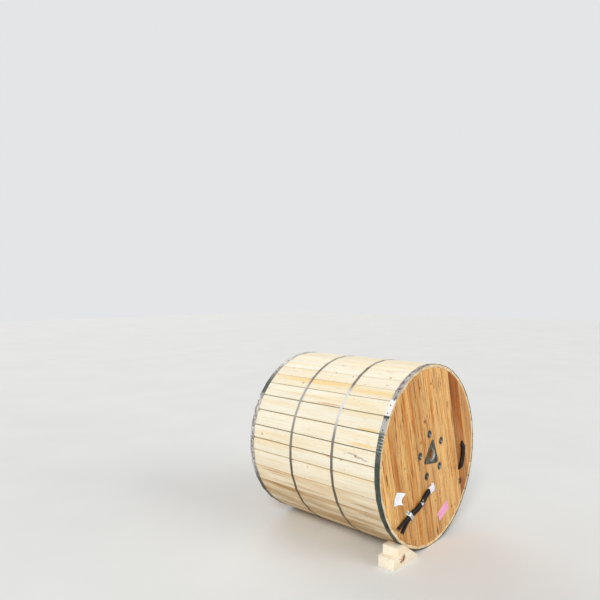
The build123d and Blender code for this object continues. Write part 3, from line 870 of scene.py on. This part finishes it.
def strip(node, name, material, thickness, dents, seed, painted_highlight, brown=plain, crease_glints=plain):
    """A strip bent over the boards, with dents no deeper than leave it clear of their corners."""
    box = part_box(node)
    low, high = box[0][1], box[1][1]
    radius = -box[0][2] - thickness
    angles = board_angles()
    bevel = thickness * 0.3
    profile = (
        (low, 0), (low, thickness - bevel), (low + bevel, thickness), ((low + high) / 2, thickness),
        (high - bevel, thickness), (high, thickness - bevel), (high, 0),
    )
    bm = bmesh.new()
    grain, tone = layer(bm, "grain"), layer(bm, "tone")
    rings = []
    for i in range(strip_steps):
        angle = 360 * i / strip_steps
        base = max(polygon_radius(angle + d, radius, angles) for d in (-0.4, 0, 0.4))
        turn = radians(angle)
        rust, crease_glint_share = blend(angle, brown), blend(angle, crease_glints)
        ring = []
        for y, lift in profile:
            reach = base
            if lift > 0:
                spot = Vector((sin(turn) * 9, cos(turn) * 9, y * 20 + seed))
                dent = dents * (noise.noise(spot * 1.3) - 0.6)
                dent += 0.001 * rust * (noise.noise(spot * 3.1) - 0.4)
                reach += max(lift + min(dent, 0), 0.4 * thickness)
            point = Vector((-sin(turn) * reach, y, cos(turn) * reach))
            keep_inside(point, box)
            vertex = bm.verts.new(point)
            vertex[grain] = Vector((turn * radius, y, 0))
            near = y < (low + high) / 2
            # The ring's painted highlight, rust, and painted crease glints
            vertex[tone] = Vector((blend(angle, painted_highlight), rust, crease_glint_share * (1 if near else far_half_glint)))
            ring.append(vertex)
        rings.append(ring)
    bridge(bm, rings, closed=True)
    finished(bm, material, node, name, 40)


# Nails: radius and height of their heads
band_nail = (0.0045, 0.0012)
flange_nail = ((0.002, 0.003), 0.0005)
clamp_nail = (0.0034, 0.001)
thread_end = (0.0022, 0.001)
nail_sides = 10
nail_profile = ((1, -0.3), (1, 0.45), (0.72, 0.9))
nail_sink = 0.0002


def add_nail(bm, point, outwards, radius, height):
    """A nail's low domed head, its middle on a point."""
    closed(bm, [ring_at(bm, point, outwards, circle(nail_sides, radius * reach, height * lift))
                for reach, lift in nail_profile])


# The boards that the drum rests on show no nails
resting_boards = (165, 195)


def band_nails():
    """Two nails through each board's end and the steel band, into the rim of the flange."""
    rng = random.Random(5)
    bm = bmesh.new()
    width = band_box[1][1] - band_box[0][1]
    angles = board_angles()
    for end in (-1, 1):
        for angle in angles:
            if resting_boards[0] < angle < resting_boards[1]:
                continue
            for across in (-0.026, 0.026):
                up = out_from_axis(angle)
                y = end * (half_length - width * rng.uniform(0.35, 0.65))
                aside = backwards.cross(up) * (across + rng.uniform(-0.006, 0.006))
                point = up * (-floor_level - nail_sink) + aside
                add_nail(bm, point + Vector((0, y, 0)), up, *band_nail)
    for vertex in bm.verts:
        keep_inside(vertex.co, band_box)
    finished(bm, nail_steel, name="band_nails")


def flange_nails(end, seed):
    """Rows of nails that hold the outer boards to the inner ones."""
    rng = random.Random(seed)
    along, across, up = board_directions(end)
    face = Vector((0, flanges[end][2], 0))
    bm = solid_copy(end + "_flange_outer_boards")
    rows = [span[:2] for span in board_spans(bm, across)]
    bm.free()
    rim = rows[-1][1] - 0.012
    nails = bmesh.new()
    for low, high in rows:
        wide = high - low
        for u in (low + 0.2 * wide, high - 0.2 * wide) if wide > 0.05 else ((low + high) / 2,):
            limit = sqrt(max(rim * rim - u * u, 0))
            v = -limit + rng.uniform(0.01, 0.05)
            while v < limit:
                place = across * (u + rng.uniform(-0.006, 0.006)) + along * v
                if 0.18 < place.length < rim:
                    point = place + face - up * nail_sink
                    add_nail(nails, point, up, rng.uniform(*flange_nail[0]), flange_nail[1])
                v += rng.uniform(0.06, 0.16)
    finished(nails, nail_steel, name=end + "_flange_nails")


def eased(node, material, edge, segments=2):
    """A small piece that keeps its solid's shape, with eased edges."""
    bm = solid_copy(node, edge, segments)
    grain = layer(bm, "grain")
    for vertex in bm.verts:
        vertex[grain] = vertex.co
    finished(bm, material, node)


# The collar's inside wall is rubbed steel, and its highlight is painted in as near-white colour
bore_wall = 0.043


def hub_plate(end):
    node = end + "_hub_plate"
    bm = solid_copy(node, 0.0008)
    for face in bm.faces:
        middle = face.calc_center_median()
        # Faces of the collar's inside wall take the painted highlight steel
        highlit_wall = hypot(middle.x, middle.z) < bore_wall and abs(face.normal.y) < 0.5
        face.material_index = int(highlit_wall)
    finished(bm, hub_steel, node).data.materials.append(collar_highlight_steel)


def paint_hidden(node, material):
    """A solid that the rest hides keeps its mesh and gets its material."""
    materials = frame["nodes"][node].data.materials
    materials.clear()
    materials.append(material)


def add_tube(bm, points, radius, sides=8):
    """A thin tube through points, closed at both ends."""
    rings = []
    for i, point in enumerate(points):
        before, after = points[max(i - 1, 0)], points[min(i + 1, len(points) - 1)]
        rings.append(ring_at(bm, point, (after - before).normalized(), circle(sides, radius)))
    closed(bm, rings)


# Strands of a cut end: one in the middle, six round it and twelve round those
strand_radius = 0.00115
strand_rings = ((0, 1), (0.00235, 6), (0.0047, 12))
strand_length = 0.0005
strand_root = 0.002
# A cut end's face has at least so many corners and so large an area
least_corners = 12
least_area = 150e-6


def cable_core(node, strands):
    """A core's insulation; where it ends free, its strands go into the other mesh."""
    bm = solid_copy(node)
    for face in bm.faces:
        middle = face.calc_center_median()
        is_cut = len(face.verts) >= least_corners and face.calc_area() >= least_area
        if not is_cut or middle.y > front_face - 0.003:
            continue
        outwards = face.normal.copy()
        turn = upwards.rotation_difference(outwards)
        for reach, count in strand_rings:
            for p in circle(count, reach):
                place = middle + turn @ p
                ends = [place - outwards * strand_root, place + outwards * strand_length]
                add_tube(strands, ends, strand_radius)
    finished(bm, insulation_black, node)


def cable_cores():
    strands = bmesh.new()
    for node in ("inner_end_upper_core", "inner_end_lower_core", "outer_loop_first_core",
                 "outer_loop_second_core"):
        cable_core(node, strands)
    finished(strands, conductor_metal, name="conductor_ends")


# The tape is wound with overlaps, and frays at its lower end
lap = 0.011
lap_height = 0.0007
loose_threads = (
    ((17.4, -218.9), (38, -226), (66, -243), (96.4, -260.8)),
    ((17.4, -218.9), (30, -230), (41, -246), (47.8, -259.5)),
)


def cable_wrap():
    bm = solid_copy("cable_wrap")
    bmesh.ops.triangulate(bm, faces=[face for face in bm.faces if len(face.verts) > 4])
    bmesh.ops.subdivide_edges(bm, edges=bm.edges[:], cuts=2, use_grid_fill=True)
    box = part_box("cable_wrap")
    top = Vector((box[1][0], 0, box[1][2]))
    bottom = Vector((box[0][0], 0, box[0][2]))
    along = (bottom - top).normalized()
    reach = (bottom - top).length
    across = along.cross(backwards)
    bm.normal_update()
    grain = layer(bm, "grain")
    for vertex in bm.verts:
        place = vertex.co - top
        run, side = place.dot(along), place.dot(across)
        around = atan2(side, front_face - vertex.co.y)
        turn = (run / lap + around / (2 * pi)) % 1
        vertex[grain] = Vector((around * 0.02, run, 0))
        if vertex.co.y > front_face - 0.001:
            continue
        crease = 0.0004 * noise.noise(vertex.co * 160)
        vertex.co += vertex.normal * (lap_height * turn + crease)
        fray = max(0, run / reach - 0.8) / 0.2
        vertex.co += along * 0.004 * fray * noise.noise(Vector((around * 3, run * 40, 2)))
    for path in loose_threads:
        points = [Vector((x / 1000, front_face - 0.0011, z / 1000)) for x, z in path]
        points[0].y -= 0.004
        add_tube(bm, points, 0.0009, 6)
        add_nail(bm, points[-1], -backwards, *thread_end)
    finished(bm, wrap_tape, "cable_wrap", smooth_angle=60)


paper_thickness = 0.0003
paper_columns, paper_rows = 22, 16


def sheet_corners(node):
    """The corners of a label's outer face: lower left, lower right, upper right and upper left."""
    bm = solid_copy(node)
    outer = min(v.co.y for v in bm.verts)
    corners = [v.co.copy() for v in bm.verts if v.co.y < outer + 1e-5]
    bm.free()
    middle = mean(corners)
    corners.sort(key=lambda c: atan2(c.z - middle.z, c.x - middle.x))
    start = min(range(len(corners)), key=lambda i: corners[i].x + corners[i].z)
    return corners[start:] + corners[:start]


def label(node, material, lift):
    """A thin sheet of paper; lift gives how far it stands off at a place from 0 to 1 each way."""
    low_left, low_right, top_right, top_left = sheet_corners(node)
    bm = bmesh.new()
    sheet = layer(bm, "sheet")
    rims = []
    for depth in (0, paper_thickness):
        grid = []
        for j in range(paper_rows + 1):
            line = []
            for i in range(paper_columns + 1):
                u, v = i / paper_columns, j / paper_rows
                place = low_left.lerp(low_right, u).lerp(top_left.lerp(top_right, u), v)
                off, aside = lift(u, v)
                vertex = bm.verts.new(place + aside + backwards * (depth - off))
                vertex[sheet] = Vector((u, v, 0))
                line.append(vertex)
            grid.append(line)
        for lower, upper in zip(grid, grid[1:]):
            for i in range(paper_columns):
                corners = (lower[i], lower[i + 1], upper[i + 1], upper[i])
                bm.faces.new(corners[::-1] if depth else corners)
        right, left = [line[-1] for line in grid[1:-1]], [line[0] for line in grid[-2:0:-1]]
        rims.append(grid[0] + right + grid[-1][::-1] + left)
    bridge(bm, rims)
    finished(bm, material, node, smooth_angle=60)


def curled(u, v):
    """The white label is slack at its left and curls up at its right edge, most at the corners."""
    left = (1 - u) ** 2
    right = u ** 3
    middle = 1 - (2 * v - 1) ** 2
    off = 0.013 * right * (1 - 0.7 * middle) + 0.0016 * left * (1 + sin(9 * v))
    aside = -left * (0.008 + 0.013 * (1 - v)) - right * (0.012 + 0.02 * middle)
    drop = -left * (0.002 + 0.011 * (1 - v))
    return off, Vector((aside, 0, drop))


def wavy(u, v):
    """The pink label lies flat, with a slight wave."""
    return 0.0004 + 0.0004 * sin(7 * u + 2 * v), Vector()


clamp_across = Vector((-0.8, 0, 0.6))


def clamp_nails():
    """A nail through each foot of the clamp."""
    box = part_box("cable_clamp")
    nails = bmesh.new()
    middle = mean([Vector(corner) for corner in box])
    bm = solid_copy("cable_clamp")
    low = [v.co for v in bm.verts if v.co.y > front_face - 0.0025]
    for side in (-1, 1):
        foot = [co for co in low if (co - middle).dot(clamp_across) * side > 0]
        centre = mean(foot)
        centre.y = front_face - 0.0016
        add_nail(nails, centre, -backwards, *clamp_nail)
    bm.free()
    finished(nails, nail_steel, name="clamp_nails")


def chock():
    """The sawn chock; its grain runs along X, so its outer end shows the rings."""
    bm = solid_copy("chock", 0.0022)
    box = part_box("chock")
    middle = mean([Vector(corner) for corner in box])
    origin = middle + Vector((3, 0.01, -0.09))
    axes = Vector((1, 0, 0)), backwards, upwards
    paint_grain(bm, bm.verts, axes, origin, (1, 0.1, 0.1))
    bm.normal_update()
    tone = layer(bm, "tone")
    # Faces turned towards -X are a little lighter, with no heartwood colour or grime; the front side, turned
    # towards -Y, is darker, with some of both
    for face in bm.faces:
        if face.normal.x < -0.7:
            shade = (1.05, 0, 0)
        elif face.normal.y < -0.7:
            shade = (0.93, 0.3, 0.15)
        else:
            continue
        for vertex in face.verts:
            vertex[tone] = Vector(shade)
    finished(bm, chock_wood, "chock")


# Stage, lights and camera
floor_reach = 30
# The world's strength as a light and as the background that is seen
lit_level, seen_level = 0.42, 0.8
# Each lamp's direction, strength, softness in degrees and colour
suns = {
    "key": ((0.8, 0.42, -0.62), 1.66, 22, (1, 0.985, 0.96)),
    "fill": ((-0.25, 0.9, -0.42), 0.95, 40, (1, 0.99, 0.98)),
    "back": ((-0.45, -0.85, -0.7), 0.6, 40, (0.98, 0.99, 1)),
}


def stage():
    mesh = bpy.data.meshes.new("floor")
    sides = ((-1, -1), (1, -1), (1, 1), (-1, 1))
    corners = [(x * floor_reach, y * floor_reach, floor_level) for x, y in sides]
    mesh.from_pydata(corners, [], [(0, 1, 2, 3)])
    g = Paint("floor_paint")
    cloud = g.noise(g.place(), 1.2, 3)
    g.surface(Base_Color=g.mix(cloud, rgb(226, 226, 224), rgb(236, 236, 234)), Roughness=0.85)
    mesh.materials.append(g.material)
    add_object("floor", mesh)


def sun(name, towards, strength, softness, colour):
    """A soft far lamp that shines along a direction."""
    light = bpy.data.lights.new(name, "SUN")
    light.energy = strength
    light.angle = radians(softness)
    light.color = colour
    add_object(name, light).rotation_euler = Vector(towards).to_track_quat("-Z", "Y").to_euler()


def world():
    sky = bpy.data.worlds.new("studio")
    g = Graph(sky)
    path = g.node("LightPath")
    seen = path.outputs["Is Camera Ray"]
    for ray in ("Is Glossy Ray", "Is Transmission Ray"):
        seen = g.math("MAXIMUM", seen, path.outputs[ray])
    strength = g.node("MapRange", {0: seen, 3: lit_level, 4: seen_level}).outputs[0]
    background = g.node("Background", {"Color": (0.96, 0.98, 1, 1), "Strength": strength})
    g.node("OutputWorld", {0: background.outputs[0]})
    bpy.context.scene.world = sky


def camera():
    data = bpy.data.cameras.new("photo_camera")
    data.sensor_width = sensor_width
    data.lens = focal_pixels / image_size * sensor_width
    data.clip_end = 100
    yaw, pitch, roll = (radians(a) for a in (camera_yaw, camera_pitch, camera_roll))
    turn = Matrix.Rotation(-yaw, 4, "Z") @ Matrix.Rotation(radians(90) + pitch, 4, "X")
    holder = add_object("photo_camera", data)
    holder.matrix_world = Matrix.Translation(camera_place) @ turn @ Matrix.Rotation(roll, 4, "Z")
    bpy.context.scene.camera = holder


# The drum, piece by piece
lagging()
flange_boards("front", front_tone, 41)
flange_boards("back", back_tone, 77)
strip("front_edge_band", "front_band_dressed", band_steel, *band_make, 1, **front_band_tones)
strip("back_edge_band", "back_band_dressed", band_steel, *band_make, 31, **back_band_tones)
strip("front_strap", "front_strap_dressed", strap_steel, *strap_make, 61, **front_strap_tones)
strip("back_strap", "back_strap_dressed", strap_steel, *strap_make, 91, **back_strap_tones)
eased("strap_seals", strap_steel, 0.0003, 1)
band_nails()
flange_nails("front", 9)
flange_nails("back", 15)
for end in flanges:
    hub_plate(end)
    eased(end + "_hub_bolts", fastener_steel, 0.0012)
    eased(end + "_tie_cups", fastener_steel, 0.0005)
    eased(end + "_tie_nuts", fastener_steel, 0.0006)
    paint_hidden(end + "_flange_inner_boards", hidden_wood)
    paint_hidden(end + "_barrel_disc", hidden_wood)
paint_hidden("barrel_staves", hidden_wood)
paint_hidden("tie_rods", fastener_steel)
paint_hidden("wound_cable", insulation_black)
cable_cores()
cable_wrap()
eased("cable_tie", tie_tape, 0.0004)
eased("cable_clamp", clamp_steel, 0.0003)
clamp_nails()
label("white_label", white_paper, curled)
label("pink_label", pink_paper, wavy)
chock()
stage()
world()
for name, settings in suns.items():
    sun(name, *settings)
camera()
bpy.context.scene.view_settings.view_transform = "Standard"
